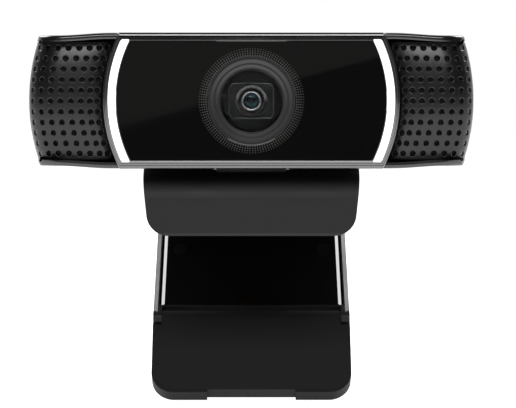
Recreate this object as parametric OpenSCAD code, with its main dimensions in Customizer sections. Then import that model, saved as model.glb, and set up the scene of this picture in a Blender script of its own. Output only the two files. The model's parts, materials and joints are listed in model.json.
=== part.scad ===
// Webcam with a folding monitor clip.
// Origin: mouth of the tripod thread in the underside of the clip plate. The lens looks along -Y.

/* [Head] */
// Width across both grilles
head_w = 95.2; // [94:0.1:96]
// Height of the centre section
head_h = 29; // [28.5:0.25:29.5]
// Depth from the faceplate to the back of the shell
head_d = 24; // [23.5:0.25:25]
// Radius, about the lens, of the arcs that end the centre section
centre_r = 31.7; // [31.4:0.1:32]
// Height of the glossy faceplate
panel_h = 25.6; // [25:0.1:26]
// Height of the perforated grilles
grille_h = 25; // [24:0.25:25.5]
// Inner radius of the light strips about the lens
strip_r = 28.8; // [28.4:0.1:29]
// Width of a light strip
strip_w = 1.9; // [1.5:0.1:2]

/* [Grille holes] */
// Diameter of one sound hole
hole_d = 1.15; // [0.9:0.05:1.3]
// Distance between rows of sound holes
hole_pitch = 2.24; // [2.1:0.02:2.28]
// Rows of sound holes in a grille
hole_rows = 11; // [7:2:11]
// Columns of sound holes in a grille
hole_columns = 7; // [4:1:7]
// Distance between columns of sound holes
column_pitch = 2.05; // [1.9:0.05:2.1]

/* [Lens] */
// Diameter of the stepped ring round the window
ring_d = 18.7; // [18:0.1:19.4]
// Diameter of the clear window
window_d = 13.4; // [13:0.1:14]
// Diameter of the moving lens barrel
barrel_d = 5.4; // [5:0.1:5.6]
// Diameter of the front lens
front_lens_d = 3.4; // [3:0.1:3.6]

/* [Clip] */
// Width of the front lip and the plate at the bottom
lip_w = 45; // [44.6:0.2:45.6]
// Width of the clip at the tilt hinge
lip_top_w = 47; // [45.8:0.2:47.4]
// Depth from the faceplate back to the tripod thread
front_reach = 38; // [37:0.5:40]
// Height of the lens axis above the underside of the plate
lens_z = 24; // [24:0.1:24.4]
// Thickness of the clip plate
plate_t = 5.2; // [5:0.1:5.2]
// Height of the lip below the underside of the plate
lip_drop = 4.9; // [4.5:0.1:5.5]
// Tilt axis behind the faceplate
tilt_back = 13; // [12.8:0.1:13.2]
// Radius of the tilt barrel
tilt_r = 2.7; // [2.6:0.05:2.7]

/* [Leg and foot] */
// Width of the leg and the foot
leg_w = 44.8; // [44:0.1:45]
// Leg hinge axis to foot hinge axis
leg_len = 41.5; // [40:0.1:42]
// Thickness of the leg and the foot
leg_t = 3.8; // [3.6:0.1:4]
// Leg below the level of the plate as it stands
leg_angle = 34; // [20:1:60]
// Foot hinge axis to the foot's tip
foot_len = 19.7; // [19:0.1:21]
// Foot bent outwards from the line of the leg as it stands
foot_angle = 21; // [16:1:45]
// Leg hinge axis behind the tripod thread
leg_back = 28; // [28:0.5:30]

/* [Tripod thread] */
// Wall radius of the threaded hole (1/4 inch, 20 threads per inch)
thread_r = 2.55; // [2.5:0.01:2.6]
// Length of the threaded hole
thread_len = 6; // [5:0.1:6]

/* [Hidden] */

slack = 0.05;               // radial clearance of a running fit
wall = 1.4;                 // moulded wall of the head
fine = 96;                  // sides of an exact round as OpenSCAD shows it

// Head, measured from the lens axis at the faceplate
panel_t = 1.2;              // faceplate thickness
frame_web = 1.2;            // web of the front frame behind the faceplate
parting_y = 6;              // where the front pieces meet the rear shell
grille_y = 0.8;             // front of a grille at its inner edge
grille_t = 1.2;             // grille thickness
grille_inner_x = 27;        // where a grille's plan curve starts
bow_z = 1.5;                // how far a grille falls back at its top and bottom
rim_h = head_h / 2 - 0.6;   // half height of the rear shell
back_round_y = 7;           // depth of the rounded back
back_round_x = 10;
back_round_z = 4.5;
board_y = 12;               // front of the main board
board_size = [80, 1.2, 17];
post_corner = [25, 6];      // board screw posts
post_r = 1.7;
post_screw_r = 0.6;
shell_corner = [24, 10.4];  // shell screws
shell_boss_r = 1.8;
shell_screw_r = 0.9;
shell_recess_r = 1.7;
mic_x = 37;
led_x = strip_r + strip_w / 2;
gland_z = -4;               // cable gland below the lens axis
gland_bore_r = 1.95;
gland_r = 3.4;
mask_open = [10, 7.4];
mask_corner = [0.95, 1];    // what the opening's corners lose
bracket_flange = [28, 5.9, 1.3];
bracket_screw_x = 11;
bracket_screw_r = 0.7;
light_stem = [1.4, 4.4];    // width and height of a strip's stem to its LED
lens_front_y = 4.2;         // front of the lens barrel at rest
barrel_len = 5;
focus_y = 5;                // front of the focus housing
coil_r = 3.4;
magnet_r = 4.4;

// Clip
tilt_y = tilt_back - front_reach;
tilt_z = lens_z - head_h / 2 - tilt_r - 0.3;
tilt_pin_r = 1;
lug_w = 15.2;
tilt_gap_w = 16.4;
lip_front_y = 3.2 - front_reach;
lip_t = 3;
lip_corner_r = 4.8;
plate_rear_y = leg_back - 4.7;
cover_t = 1.2;
cover_size = [40, 38];
cover_corner = [17.4, 16.4];    // its screws, from its middle
cover_post_r = 2;
cover_screw_r = 0.8;
cover_screw_head_r = 1.6;
cover_screw_len = 3.2;
insert_r = 4.5;
insert_flange_r = 5;
insert_boss_r = 6.4;
pad_t = 0.6;
leg_z = -1;
leg_knuckle_r = 2.9;
leg_knuckle_w = 28;
leg_pin_r = 1.1;
washer_t = 0.35;

// Leg and foot
rail_w = 1.3;
groove_w = 0.35;
recess_t = 2.2;
rail_bevel = [1, 0.6];      // what a rail loses at its outer edge
panel_rise = 0.1;           // how far the panel stands above the rails
panel_bevel = [0.85, 0.46];
knee_r = leg_t / 2;
knee_w = leg_w - 4.2;
knee_end = 2.4;             // where the leg and the foot start, from the hinge axis
knee_gap = 0.12;
knee_pin_r = 0.8;
foot_corner_r = 5;
foot_pad_t = 1;
foot_pad_margin = 0.6;
notch_size = [19.8, 0.65];  // thumb notch in the foot's tip

// ---- helpers ----

function bezier(p, t) =
    pow(1 - t, 3) * p[0] + 3 * t * pow(1 - t, 2) * p[1] + 3 * t * t * (1 - t) * p[2] + pow(t, 3) * p[3];

// Frame of the head: origin on the lens axis at the faceplate, +Y to the back
module in_head() translate([0, -front_reach, lens_z]) children();

// Frame of the leg: origin on its hinge axis, the leg along -Y with its inner face at z = 0
module in_leg() translate([0, leg_back, leg_z]) rotate([leg_angle, 0, 0]) children();

// Frame of the foot: origin on its hinge axis, the foot along -Y
module in_foot() in_leg() translate([0, -leg_len, -knee_r]) rotate([foot_angle, 0, 0]) children();

// An XZ outline made solid from y to y + t
module slab(y, t) translate([0, y + t, 0]) rotate([90, 0, 0]) linear_extrude(t) children();

// A YZ outline made solid across w, centred on x = 0
module across(w) rotate([90, 0, 90]) linear_extrude(w, center = true) children();

// A cylinder along Y from y to y + l
module rod_y(r, y, l) translate([0, y, 0]) rotate([-90, 0, 0]) cylinder(r = r, h = l, $fn = fine);

// A cylinder along X from x to x + l
module rod_x(r, x, l) translate([x, 0, 0]) rotate([0, 90, 0]) cylinder(r = r, h = l, $fn = fine);

// The outline that arcs about the lens and a flat top and bottom share
module lens_outline(r, half_h, sides = 180) intersection() {
    circle(r = r, $fn = sides);
    square([2 * r, 2 * half_h], center = true);
}

// A rectangle with round corners, centred
module rounded_rect(w, h, r) {
    square([w - 2 * r, h], center = true);
    square([w, h - 2 * r], center = true);
    for (x = [-1, 1], y = [-1, 1])
        translate([x * (w / 2 - r), y * (h / 2 - r)]) circle(r = r, $fn = fine);
}

// One copy in each corner of a plate, corner [x, y] from its middle
module at_corners(corner) for (x = [-1, 1], y = [-1, 1])
    translate([x * corner[0], y * corner[1], 0]) children();

// One copy in each corner of the head, [x, z] from the lens axis
module at_head_corners(corner) for (x = [-1, 1], z = [-1, 1])
    translate([x * corner[0], 0, z * corner[1]]) children();

// ---- clip ----

// Side outline of the clip base: the lip in front, the plate behind it
module clip_profile() {
    face_y = lip_front_y - 0.5;
    slope = [
        [tilt_y - 1.3, tilt_z + 2.35], [tilt_y - 5, tilt_z + 1.5],
        [face_y + 0.1, tilt_z + 0.4], [face_y, tilt_z - 4]
    ];
    polygon(concat(
        [for (i = [0:16]) bezier(slope, i / 16)],
        [
            [face_y, 0.6 - lip_drop], [face_y + 0.5, -lip_drop],
            [lip_front_y + lip_t - 1, -lip_drop],
            [lip_front_y + lip_t - 0.4, -lip_drop + 0.3], [lip_front_y + lip_t, -lip_drop + 1],
            [lip_front_y + lip_t + 0.4, -1], [lip_front_y + lip_t + 1.2, -0.2],
            [lip_front_y + lip_t + 2.2, 0], [plate_rear_y, 0],
            [plate_rear_y, plate_t - 1.5], [plate_rear_y - 1.5, plate_t], [tilt_y, plate_t]
        ]
    ));
    translate([tilt_y, tilt_z]) circle(r = tilt_r, $fn = fine);
}

// Front outline of the clip: it narrows downwards to two round corners
module clip_outline() hull() {
    for (side = [-1, 1])
        translate([side * (lip_w / 2 - lip_corner_r), lip_corner_r - lip_drop])
            circle(r = lip_corner_r, $fn = fine);
    translate([-lip_top_w / 2, tilt_z + tilt_r]) square([lip_top_w, 1]);
}

module clip_base() color("#26272a") difference() {
    union() {
        intersection() {
            across(lip_top_w) clip_profile();
            slab(-front_reach, front_reach + leg_back) clip_outline();
        }
        // Boss round the threaded insert
        cylinder(r = insert_boss_r, h = thread_len + 0.8, $fn = fine);
        // Hinge knuckle for the leg
        across(leg_knuckle_w) difference() {
            union() {
                translate([leg_back, leg_z]) circle(r = leg_knuckle_r, $fn = fine);
                polygon([
                    [plate_rear_y - 2, 0], [leg_back - leg_knuckle_r, leg_z + 0.1],
                    [leg_back, leg_z + leg_knuckle_r], [plate_rear_y - 2, plate_t]
                ]);
            }
            translate([leg_back, leg_z]) circle(r = leg_pin_r, $fn = fine);
        }
    }
    // Room for the bracket of the head
    translate([-tilt_gap_w / 2, tilt_y, tilt_z]) rod_x(tilt_r + 0.4, 0, tilt_gap_w);
    translate([-tilt_gap_w / 2, tilt_y - 3.2, tilt_z - 1]) cube([tilt_gap_w, 8, 6]);
    // Pin bore through both ears
    translate([0, tilt_y, tilt_z]) rod_x(tilt_pin_r, 2 - lip_w / 2, lip_w - 4);
    // Hollow underside, its cover's seat and the insert's bore
    difference() {
        cover_block([cover_size[0] - 2, cover_size[1] - 2], plate_t - wall);
        cylinder(r = insert_boss_r, h = plate_t, $fn = fine);
        at_corners(cover_corner) cylinder(r = cover_post_r, h = plate_t, $fn = fine);
    }
    cover_block(cover_size, cover_t);
    translate([0, 0, -1]) cylinder(r = insert_r, h = thread_len + 1, $fn = fine);
    at_corners(cover_corner) translate([0, 0, -1]) cylinder(r = cover_screw_r, h = 4.2, $fn = fine);
}

// A block that cuts the underside of the plate to a depth
module cover_block(size, depth)
    translate([-size[0] / 2, -size[1] / 2, -1]) cube([size[0], size[1], depth + 1]);

module plate_cover() color("#1c1d1f") difference() {
    translate([-cover_size[0] / 2, -cover_size[1] / 2, 0]) cube([cover_size[0], cover_size[1], cover_t]);
    translate([0, 0, -1]) cylinder(r = insert_flange_r + slack, h = cover_t + 2, $fn = fine);
    at_corners(cover_corner) translate([0, 0, -1]) {
        cylinder(r = cover_screw_r, h = cover_t + 2, $fn = fine);
        cylinder(r = cover_screw_head_r, h = 1.6, $fn = fine);
    }
}

module plate_cover_screws() color("#9a9a9c") at_corners(cover_corner) difference() {
    union() {
        translate([0, 0, 0.1]) cylinder(r = cover_screw_head_r, h = 0.5, $fn = fine);
        translate([0, 0, 0.1]) cylinder(r = cover_screw_r, h = cover_screw_len - 0.1, $fn = fine);
    }
    for (a = [0, 90]) rotate(a) cube([1.6, 0.35, 0.7], center = true);
}

module tripod_insert() color("#b08d4f") difference() {
    union() {
        cylinder(r = insert_flange_r, h = cover_t, $fn = fine);
        cylinder(r = insert_r, h = thread_len, $fn = fine);
    }
    translate([0, 0, -1]) cylinder(r = thread_r, h = thread_len + 2, $fn = fine);
}

module plate_pad() color("#1a1a1b")
    translate([0, tilt_y - 0.2, -pad_t]) linear_extrude(pad_t) rounded_rect(lip_w - 6, 7, 1.5);

module lip_pad() color("#1a1a1b")
    across(lip_w - 11) polygon([
        [lip_front_y + lip_t, -lip_drop + 1], [lip_front_y + lip_t + 0.4, -1],
        [lip_front_y + lip_t + 1.1, -1], [lip_front_y + lip_t + 0.7, -lip_drop + 1]
    ]);

module tilt_pin() color("#b9bbbe")
    translate([0, tilt_y, tilt_z]) rod_x(tilt_pin_r, 2 - lip_w / 2, lip_w - 4);

module tilt_washers() color("#c8c9cb")
    for (side = [-1, 1])
        translate([side * (lug_w / 2 + 0.1 + washer_t / 2), tilt_y, tilt_z]) difference() {
            rod_x(tilt_r - 0.1, -washer_t / 2, washer_t);
            rod_x(tilt_pin_r, -1, 2);
        }

module leg_hinge_pin() color("#b9bbbe")
    translate([0, leg_back, leg_z]) rod_x(leg_pin_r, 1 - leg_w / 2, leg_w - 2);

module leg_hinge_washers() color("#c8c9cb")
    for (side = [-1, 1])
        translate([side * (leg_knuckle_w / 2 + washer_t / 2), leg_back, leg_z]) difference() {
            rod_x(leg_knuckle_r - 0.3, -washer_t / 2, washer_t);
            rod_x(leg_pin_r, -1, 2);
        }

// ---- leg and foot ----

// An XZ outline made solid along the leg from y0 to y1
module along_leg(y0, y1) translate([0, y0, 0]) rotate([90, 0, 0]) mirror([0, 0, 1])
    linear_extrude(y1 - y0) children();

module leg_frame() color("#1d1e20") in_leg() difference() {
    ear_x = leg_knuckle_w / 2 + washer_t + 0.1;
    ear_w = leg_w / 2 - ear_x;
    knee_x = knee_w / 2 + knee_gap;
    knee_ear_w = leg_w / 2 - knee_x;
    union() {
        difference() {
            along_leg(-leg_len, -3.4) polygon([
                [-leg_w / 2, -leg_t], [leg_w / 2, -leg_t], [leg_w / 2, -rail_bevel[1]],
                [leg_w / 2 - rail_bevel[0], 0], [rail_bevel[0] - leg_w / 2, 0],
                [-leg_w / 2, -rail_bevel[1]]
            ]);
            // Room for the knuckle of the foot
            translate([-knee_x, -leg_len - 1, -leg_t - 1]) cube([2 * knee_x, knee_end + 1, leg_t + 2]);
        }
        for (side = [-1, 1]) {
            translate([side * (ear_x + ear_w / 2), 0, 0]) {
                rod_x(leg_knuckle_r, -ear_w / 2, ear_w);
                translate([-ear_w / 2, -4, -leg_knuckle_r]) cube([ear_w, 4, leg_knuckle_r]);
            }
            translate([side * (knee_x + knee_ear_w / 2), -leg_len, -knee_r])
                rod_x(knee_r, -knee_ear_w / 2, knee_ear_w);
        }
    }
    // Recess for the panel
    translate([rail_w - leg_w / 2, knee_end + 0.4 - leg_len, -recess_t])
        cube([leg_w - 2 * rail_w, leg_len - knee_end - 4.8, recess_t + 1]);
    rod_x(leg_pin_r + slack, -leg_w / 2 - 1, leg_w / 2 - leg_knuckle_w / 2 + 1);
    rod_x(leg_pin_r + slack, leg_knuckle_w / 2, leg_w / 2 - leg_knuckle_w / 2 + 1);
    for (side = [-1, 1])
        translate([side * (knee_x + knee_ear_w / 2), -leg_len, -knee_r])
            rod_x(knee_pin_r, -knee_ear_w, 2 * knee_ear_w);
}

module leg_panel() color("#08080a") in_leg() {
    half = leg_w / 2 - rail_w - groove_w;
    along_leg(knee_end + 0.5 - leg_len, -4.7) polygon([
        [-half, -recess_t], [half, -recess_t], [half, panel_rise - panel_bevel[1]],
        [half - panel_bevel[0], panel_rise], [panel_bevel[0] - half, panel_rise],
        [-half, panel_rise - panel_bevel[1]]
    ]);
}

module foot_hinge_pin() color("#b9bbbe") in_leg()
    translate([0, -leg_len, -knee_r]) rod_x(knee_pin_r, 1 - leg_w / 2, leg_w - 2);

module foot_shell() color("#1d1e20") in_foot() difference() {
    union() {
        translate([0, 0, -knee_r]) linear_extrude(leg_t) intersection() {
            translate([0, -foot_len / 2 + 3]) rounded_rect(leg_w, foot_len + 6, foot_corner_r);
            translate([-leg_w, -foot_len]) square([2 * leg_w, foot_len - knee_end]);
        }
        rod_x(knee_r, -knee_w / 2, knee_w);
        translate([-knee_w / 2, -3, -knee_r]) cube([knee_w, 3, leg_t]);
    }
    // Seat of the rubber pad
    translate([0, 0, knee_r - foot_pad_t]) linear_extrude(2) pad_outline();
    // Thumb notch in the tip
    translate([-notch_size[0] / 2, -foot_len - 1, -knee_r - 1])
        cube([notch_size[0], notch_size[1] + 1, leg_t + 2]);
    rod_x(knee_pin_r + slack, -knee_w, 2 * knee_w);
}

// Outline of the rubber pad of the foot, which reaches up over the knuckle
module pad_outline() intersection() {
    translate([0, -foot_len / 2 + 3])
        rounded_rect(leg_w - 2 * foot_pad_margin, foot_len + 6 - 2 * foot_pad_margin,
                     foot_corner_r - foot_pad_margin);
    union() {
        translate([-knee_w / 2 + 0.3, -foot_len]) square([knee_w - 0.6, foot_len - 0.6]);
        translate([-leg_w, -foot_len]) square([2 * leg_w, foot_len - knee_end - 0.5]);
    }
}

module foot_pad() color("#232325") in_foot()
    translate([0, 0, knee_r - foot_pad_t]) linear_extrude(foot_pad_t + 0.15) pad_outline();

// ---- head: outer pieces ----

// The rear shell's form from start_y back, drawn in by inset on every side
module shell_form(inset, start_y) hull() {
    slab(start_y, 1) lens_outline(head_w / 2 - inset, rim_h - inset, 72);
    for (a = [0:18:90])
        slab(head_d - inset - back_round_y * (1 - sin(a)) - 0.1, 0.1)
            lens_outline(head_w / 2 - inset - back_round_x * (1 - cos(a)),
                         rim_h - inset - back_round_z * (1 - cos(a)), 72);
}

// Plan curve of a grille's face from its inner edge to the end of the head
function plan_y(a) = grille_y + (parting_y - grille_y) * (1 - cos(a));
function plan_x(a, end_x) = grille_inner_x + (end_x - grille_inner_x) * sin(a);

// Rim above or below a grille, in plan
module rim_plan() {
    end_x = sqrt(pow(head_w / 2, 2) - rim_h * rim_h) - 0.1;
    polygon(concat(
        [for (a = [9:9:90]) [plan_x(a, end_x), plan_y(a) + 0.3]],
        [[end_x, parting_y + 0.7], [plan_x(9, end_x), parting_y + 0.7]]
    ));
}

module rear_shell() color("#17181a") in_head() difference() {
    union() {
        difference() {
            shell_form(0, parting_y);
            shell_form(wall, parting_y - 1);
        }
        // Rims that frame the grilles at top and bottom
        for (side = [0, 1], top = [0, 1]) mirror([side, 0, 0]) mirror([0, 0, top])
            translate([0, 0, rim_h - wall]) linear_extrude(wall) rim_plan();
        // Bosses for the shell screws
        at_head_corners(shell_corner) rod_y(shell_boss_r, parting_y + 4, head_d - parting_y - 5.7);
        // Collar that holds the cable gland
        translate([0, 0, gland_z]) rod_y(5, head_d - 4.5, 4);
    }
    // Slot for the tilt bracket
    translate([-lug_w / 2 - 0.2, tilt_back - 2.4, -head_h]) cube([lug_w + 0.4, 4.8, head_h - wall - 8]);
    translate([0, 0, gland_z]) rod_y(gland_r, head_d - 6, 8);
    at_head_corners(shell_corner) {
        rod_y(shell_screw_r, parting_y, head_d);
        rod_y(shell_recess_r, head_d - 3, 4);
    }
    for (x = [-1, 1]) translate([x * bracket_screw_x, tilt_back, 0.4 - rim_h])
        cylinder(r = bracket_screw_r, h = 3, $fn = fine);
}

module front_frame() color("#101113") in_head() difference() {
    union() {
        difference() {
            slab(0, parting_y) lens_outline(centre_r, head_h / 2);
            slab(panel_t + frame_web, parting_y) lens_outline(centre_r - wall, head_h / 2 - 1);
        }
        // Spigot that locates in the rear shell
        difference() {
            slab(parting_y - 1, 2.4) lens_outline(centre_r - 0.4, rim_h - wall - 0.05);
            slab(parting_y - 2, 5) lens_outline(centre_r - wall, rim_h - wall - 0.9);
        }
        at_head_corners(post_corner) rod_y(post_r, panel_t + 0.5, board_y - panel_t - 0.5);
        at_head_corners(shell_corner) rod_y(shell_boss_r, panel_t + 0.5, parting_y + 3.5 - panel_t);
    }
    // Faceplate seat, strip seats and the opening for the lens
    slab(-1, 1 + panel_t) lens_outline(strip_r, panel_h / 2);
    strip_faces(-1, 1 + panel_t, slack);
    rod_y(ring_d / 2, -1, parting_y);
    for (side = [-1, 1]) light_stem_block(side, 0, board_y - 1, slack);
    at_head_corners(post_corner) rod_y(post_screw_r, board_y - 5, 6);
    at_head_corners(shell_corner) rod_y(shell_screw_r, parting_y - 2, 8);
}

// Both light strips' faces as a solid from y to y + t, or their seats with grow
module strip_faces(y, t, grow = 0) slab(y, t) difference() {
    lens_outline(strip_r + strip_w + grow, panel_h / 2 + 0.2 + grow);
    circle(r = strip_r - grow, $fn = 180);
}

// Stem of a light strip, from y back by t, or its passage with grow
module light_stem_block(side, y, t, grow = 0)
    translate([side * led_x - light_stem[0] / 2 - grow, y, -light_stem[1] / 2 - grow])
        cube([light_stem[0] + 2 * grow, t, light_stem[1] + 2 * grow]);

module faceplate() color("#0b0b0d") in_head() difference() {
    slab(0, panel_t) lens_outline(strip_r - slack, panel_h / 2 - slack);
    rod_y(ring_d / 2, -1, panel_t + 2);
}

module light_strip(side) color("#f4f6f8") in_head() intersection() {
    union() {
        strip_faces(0, panel_t);
        light_stem_block(side, 0.5, board_y - 2);
    }
    translate([side * 2 * centre_r, 0, 0]) cube(4 * centre_r, center = true);
}
module left_light_strip() light_strip(-1);
module right_light_strip() light_strip(1);

// The curved skin of the right grille, before it is cut to its outline
module grille_skin() {
    steps = 10;
    rows = 6;
    function skin_point(i, j, back) =
        let (a = 90 * i / steps, v = 2 * j / rows - 1)
        [plan_x(a, head_w / 2), plan_y(a) + bow_z * v * v + back, v * grille_h / 2];
    points = [
        for (back = [0, grille_t + 1], i = [0:steps], j = [0:rows]) skin_point(i, j, back)
    ];
    size = (steps + 1) * (rows + 1);
    function at(i, j) = i * (rows + 1) + j;
    front = [for (i = [0:steps - 1], j = [0:rows - 1], k = [0, 1]) k == 0
        ? [at(i, j), at(i + 1, j + 1), at(i + 1, j)]
        : [at(i, j), at(i, j + 1), at(i + 1, j + 1)]];
    rear = [for (f = front) [f[0] + size, f[2] + size, f[1] + size]];
    sides_j = [for (i = [0:steps - 1], j = [0, rows], k = [0, 1])
        let (a = at(i, j), b = at(i + 1, j), f = j == 0)
        k == 0 ? (f ? [a, b, b + size] : [a, b + size, b])
               : (f ? [a, b + size, a + size] : [a, a + size, b + size])];
    sides_i = [for (j = [0:rows - 1], i = [0, steps], k = [0, 1])
        let (a = at(i, j), b = at(i, j + 1), f = i == steps)
        k == 0 ? (f ? [a, b, b + size] : [a, b + size, b])
               : (f ? [a, b + size, a + size] : [a, a + size, b + size])];
    polyhedron(points = points, faces = concat(front, rear, sides_j, sides_i));
}

module grille(side) color("#1b1c1e") in_head() mirror([side < 0 ? 1 : 0, 0, 0]) difference() {
    intersection() {
        grille_skin();
        slab(-1, parting_y + 0.9) difference() {
            lens_outline(head_w / 2 - 0.1, grille_h / 2);
            circle(r = centre_r + 0.1, $fn = 180);
        }
    }
    // Rows of holes on arcs about the lens
    for (row = [0:hole_rows - 1], column = [0:hole_columns - 1]) {
        z = (row - (hole_rows - 1) / 2) * hole_pitch;
        r = centre_r + 1.5 + column * column_pitch;
        translate([sqrt(r * r - z * z), 0, z]) rod_y(hole_d / 2, -1, head_d);
    }
}
module left_grille() grille(-1);
module right_grille() grille(1);

// ---- head: lens ----

module lens_ring() color("#4a4b4e") in_head() rotate([-90, 0, 0]) rotate_extrude($fn = fine) {
    outer = ring_d / 2 - slack;
    inner = window_d / 2;
    step = (outer - inner) / 5;
    polygon([
        [inner - 0.6, 1.9], [inner - 0.6, 3], [outer, 3], [outer, 0], [outer - step, 0.15],
        [outer - step, 0.35], [outer - 2 * step, 0.35], [outer - 2 * step, 0.6],
        [outer - 3 * step, 0.6], [outer - 3 * step, 0.85], [outer - 4 * step, 0.85],
        [outer - 4 * step, 1], [inner, 1], [inner, 1.9]
    ]);
}

module lens_window() color("#8fa3a8", 0.4) in_head() rod_y(window_d / 2, 1, 0.8);

module lens_mask() color("#0a0a0b") in_head() difference() {
    rod_y(window_d / 2 - 0.7, 1.9, 1.9);
    slab(1, 4) hull() {
        square([mask_open[0], mask_open[1] - 2 * mask_corner[1]], center = true);
        square([mask_open[0] - 2 * mask_corner[0], mask_open[1]], center = true);
    }
}

module focus_housing() color("#55575a") in_head() difference() {
    union() {
        translate([-5, focus_y, -5]) cube([10, 5.5, 10]);
        rod_y(3.5, lens_front_y, 1);
    }
    rod_y(barrel_d / 2 + 0.08, 0, lens_front_y + barrel_len + 0.4);
    rod_y(magnet_r, focus_y + 1.2, 3);
}

module focus_magnet() color("#6b6d70") in_head() difference() {
    rod_y(magnet_r, focus_y + 1.2, 3);
    rod_y(coil_r + 0.3, focus_y, 5);
}

// Coil wound on the lens barrel, which it moves
module focus_coil() color("#b5763a") in_head() difference() {
    rod_y(coil_r, focus_y + 1.7, 2.3);
    rod_y(barrel_d / 2, 0, head_d);
}

module lens_barrel() color("#1a1a1c") in_head() difference() {
    rod_y(barrel_d / 2, lens_front_y, barrel_len);
    rod_y(front_lens_d / 2, 0, lens_front_y + 0.9);
    rod_y(front_lens_d / 2 - 0.5, 0, head_d);
}

module front_lens() color("#3d5a5e") in_head() intersection() {
    rod_y(front_lens_d / 2, lens_front_y, 0.9);
    translate([0, lens_front_y + 0.2 + 3, 0]) sphere(r = 3, $fn = fine);
}

// ---- head: inside ----

module tilt_bracket() color("#3a3b3e") in_head() translate([0, tilt_back, 0]) difference() {
    axis_z = tilt_z - lens_z;
    union() {
        translate([0, 0, axis_z]) rod_x(tilt_r, -lug_w / 2, lug_w);
        translate([-lug_w / 2, -2.1, axis_z]) cube([lug_w, 4.2, wall - rim_h - axis_z + 1]);
        translate([-bracket_flange[0] / 2, -3.5, wall - rim_h]) cube(bracket_flange);
    }
    translate([0, 0, axis_z]) rod_x(tilt_pin_r + slack, -lug_w, 2 * lug_w);
    for (side = [-1, 1]) translate([side * bracket_screw_x, 0, -rim_h])
        cylinder(r = bracket_screw_r, h = 5, $fn = fine);
}

module bracket_screws() color("#9a9a9c") in_head()
    for (side = [-1, 1]) translate([side * bracket_screw_x, tilt_back, 0]) {
        head_z = wall - rim_h + bracket_flange[2];
        translate([0, 0, 0.4 - rim_h]) cylinder(r = bracket_screw_r, h = head_z + rim_h - 0.4, $fn = fine);
        translate([0, 0, head_z]) cylinder(r = 1.3, h = 0.8, $fn = fine);
    }

module main_board() color("#1f5b39") in_head() difference() {
    translate([-board_size[0] / 2, board_y, -board_size[2] / 2]) cube(board_size);
    at_head_corners(post_corner) rod_y(post_screw_r + 0.2, board_y - 1, 4);
}

module board_screws() color("#9a9a9c") in_head() at_head_corners(post_corner) {
    rod_y(post_screw_r, board_y - 4, 4 + board_size[1]);
    rod_y(1.3, board_y + board_size[1], 0.8);
}

module image_sensor() color("#2b3340") in_head()
    translate([-4, board_y - 1.2, -4]) cube([8, 1.2, 8]);

module shield_can() color("#b4b6b8") in_head()
    translate([0, board_y + board_size[1], 3.4]) difference() {
        translate([-13, 0, -4.5]) cube([26, 2.6, 9]);
        translate([-12.7, -1, -4.2]) cube([25.4, 3.3, 8.4]);
    }

module cable_header() color("#e8e4d6") in_head()
    translate([-4, board_y + board_size[1], -7.4]) cube([8, 3.4, 4]);

module microphone(side) color("#c9b26a") in_head()
    translate([side * mic_x - 1.9, board_y - 1.1, -1.5]) cube([3.8, 1.1, 3]);
module left_microphone() microphone(-1);
module right_microphone() microphone(1);

// Foam tube that leads sound from a grille to its microphone
module mic_foam(side) color("#3c3c3e") in_head() difference() {
    translate([side * mic_x - 3, 6.5, -3]) cube([6, board_y - 6.5, 6]);
    translate([side * mic_x - 1.9, 4, -1.5]) cube([3.8, board_y - 4, 3]);
}
module left_mic_foam() mic_foam(-1);
module right_mic_foam() mic_foam(1);

module led(side) color("#f2e6a0") in_head()
    translate([side * led_x - 0.8, board_y - 0.8, -0.8]) cube([1.6, 0.8, 1.6]);
module left_led() led(-1);
module right_led() led(1);

module shell_screws() color("#9a9a9c") in_head() at_head_corners(shell_corner) {
    rod_y(shell_screw_r, parting_y - 1.5, head_d - 1.5 - parting_y);
    rod_y(shell_recess_r - 0.1, head_d - 3, 1);
}

module cable_gland() color("#202123") in_head() translate([0, 0, gland_z]) difference() {
    union() {
        rod_y(gland_r, head_d - 5, 5);
        rod_y(gland_r + 1, head_d - 5.8, 0.9);
        rod_y(3.8, head_d, 0.8);
        rod_y(3, head_d, 1.4);
    }
    rod_y(gland_bore_r, head_d - 6, 9);
}

clip_base();
plate_cover();
plate_cover_screws();
tripod_insert();
plate_pad();
lip_pad();
tilt_pin();
tilt_washers();
leg_hinge_pin();
leg_hinge_washers();
leg_frame();
leg_panel();
foot_hinge_pin();
foot_shell();
foot_pad();
rear_shell();
front_frame();
faceplate();
left_grille();
right_grille();
left_light_strip();
right_light_strip();
lens_ring();
lens_window();
lens_mask();
tilt_bracket();
bracket_screws();
main_board();
board_screws();
image_sensor();
focus_housing();
focus_magnet();
focus_coil();
lens_barrel();
front_lens();
shield_can();
cable_header();
left_microphone();
right_microphone();
left_mic_foam();
right_mic_foam();
left_led();
right_led();
shell_screws();
cable_gland();
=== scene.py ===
"""Looks for the webcam with a folding monitor clip. Lengths of the webcam and the camera are in
millimetres, turned into metres where a mesh is made. The floor and the lights are placed in metres.
Head pieces are drawn about the lens axis, x across, d back from the faceplate, z up."""

import json
import math

import bmesh
import bpy
from mathutils import Matrix, Vector


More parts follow.
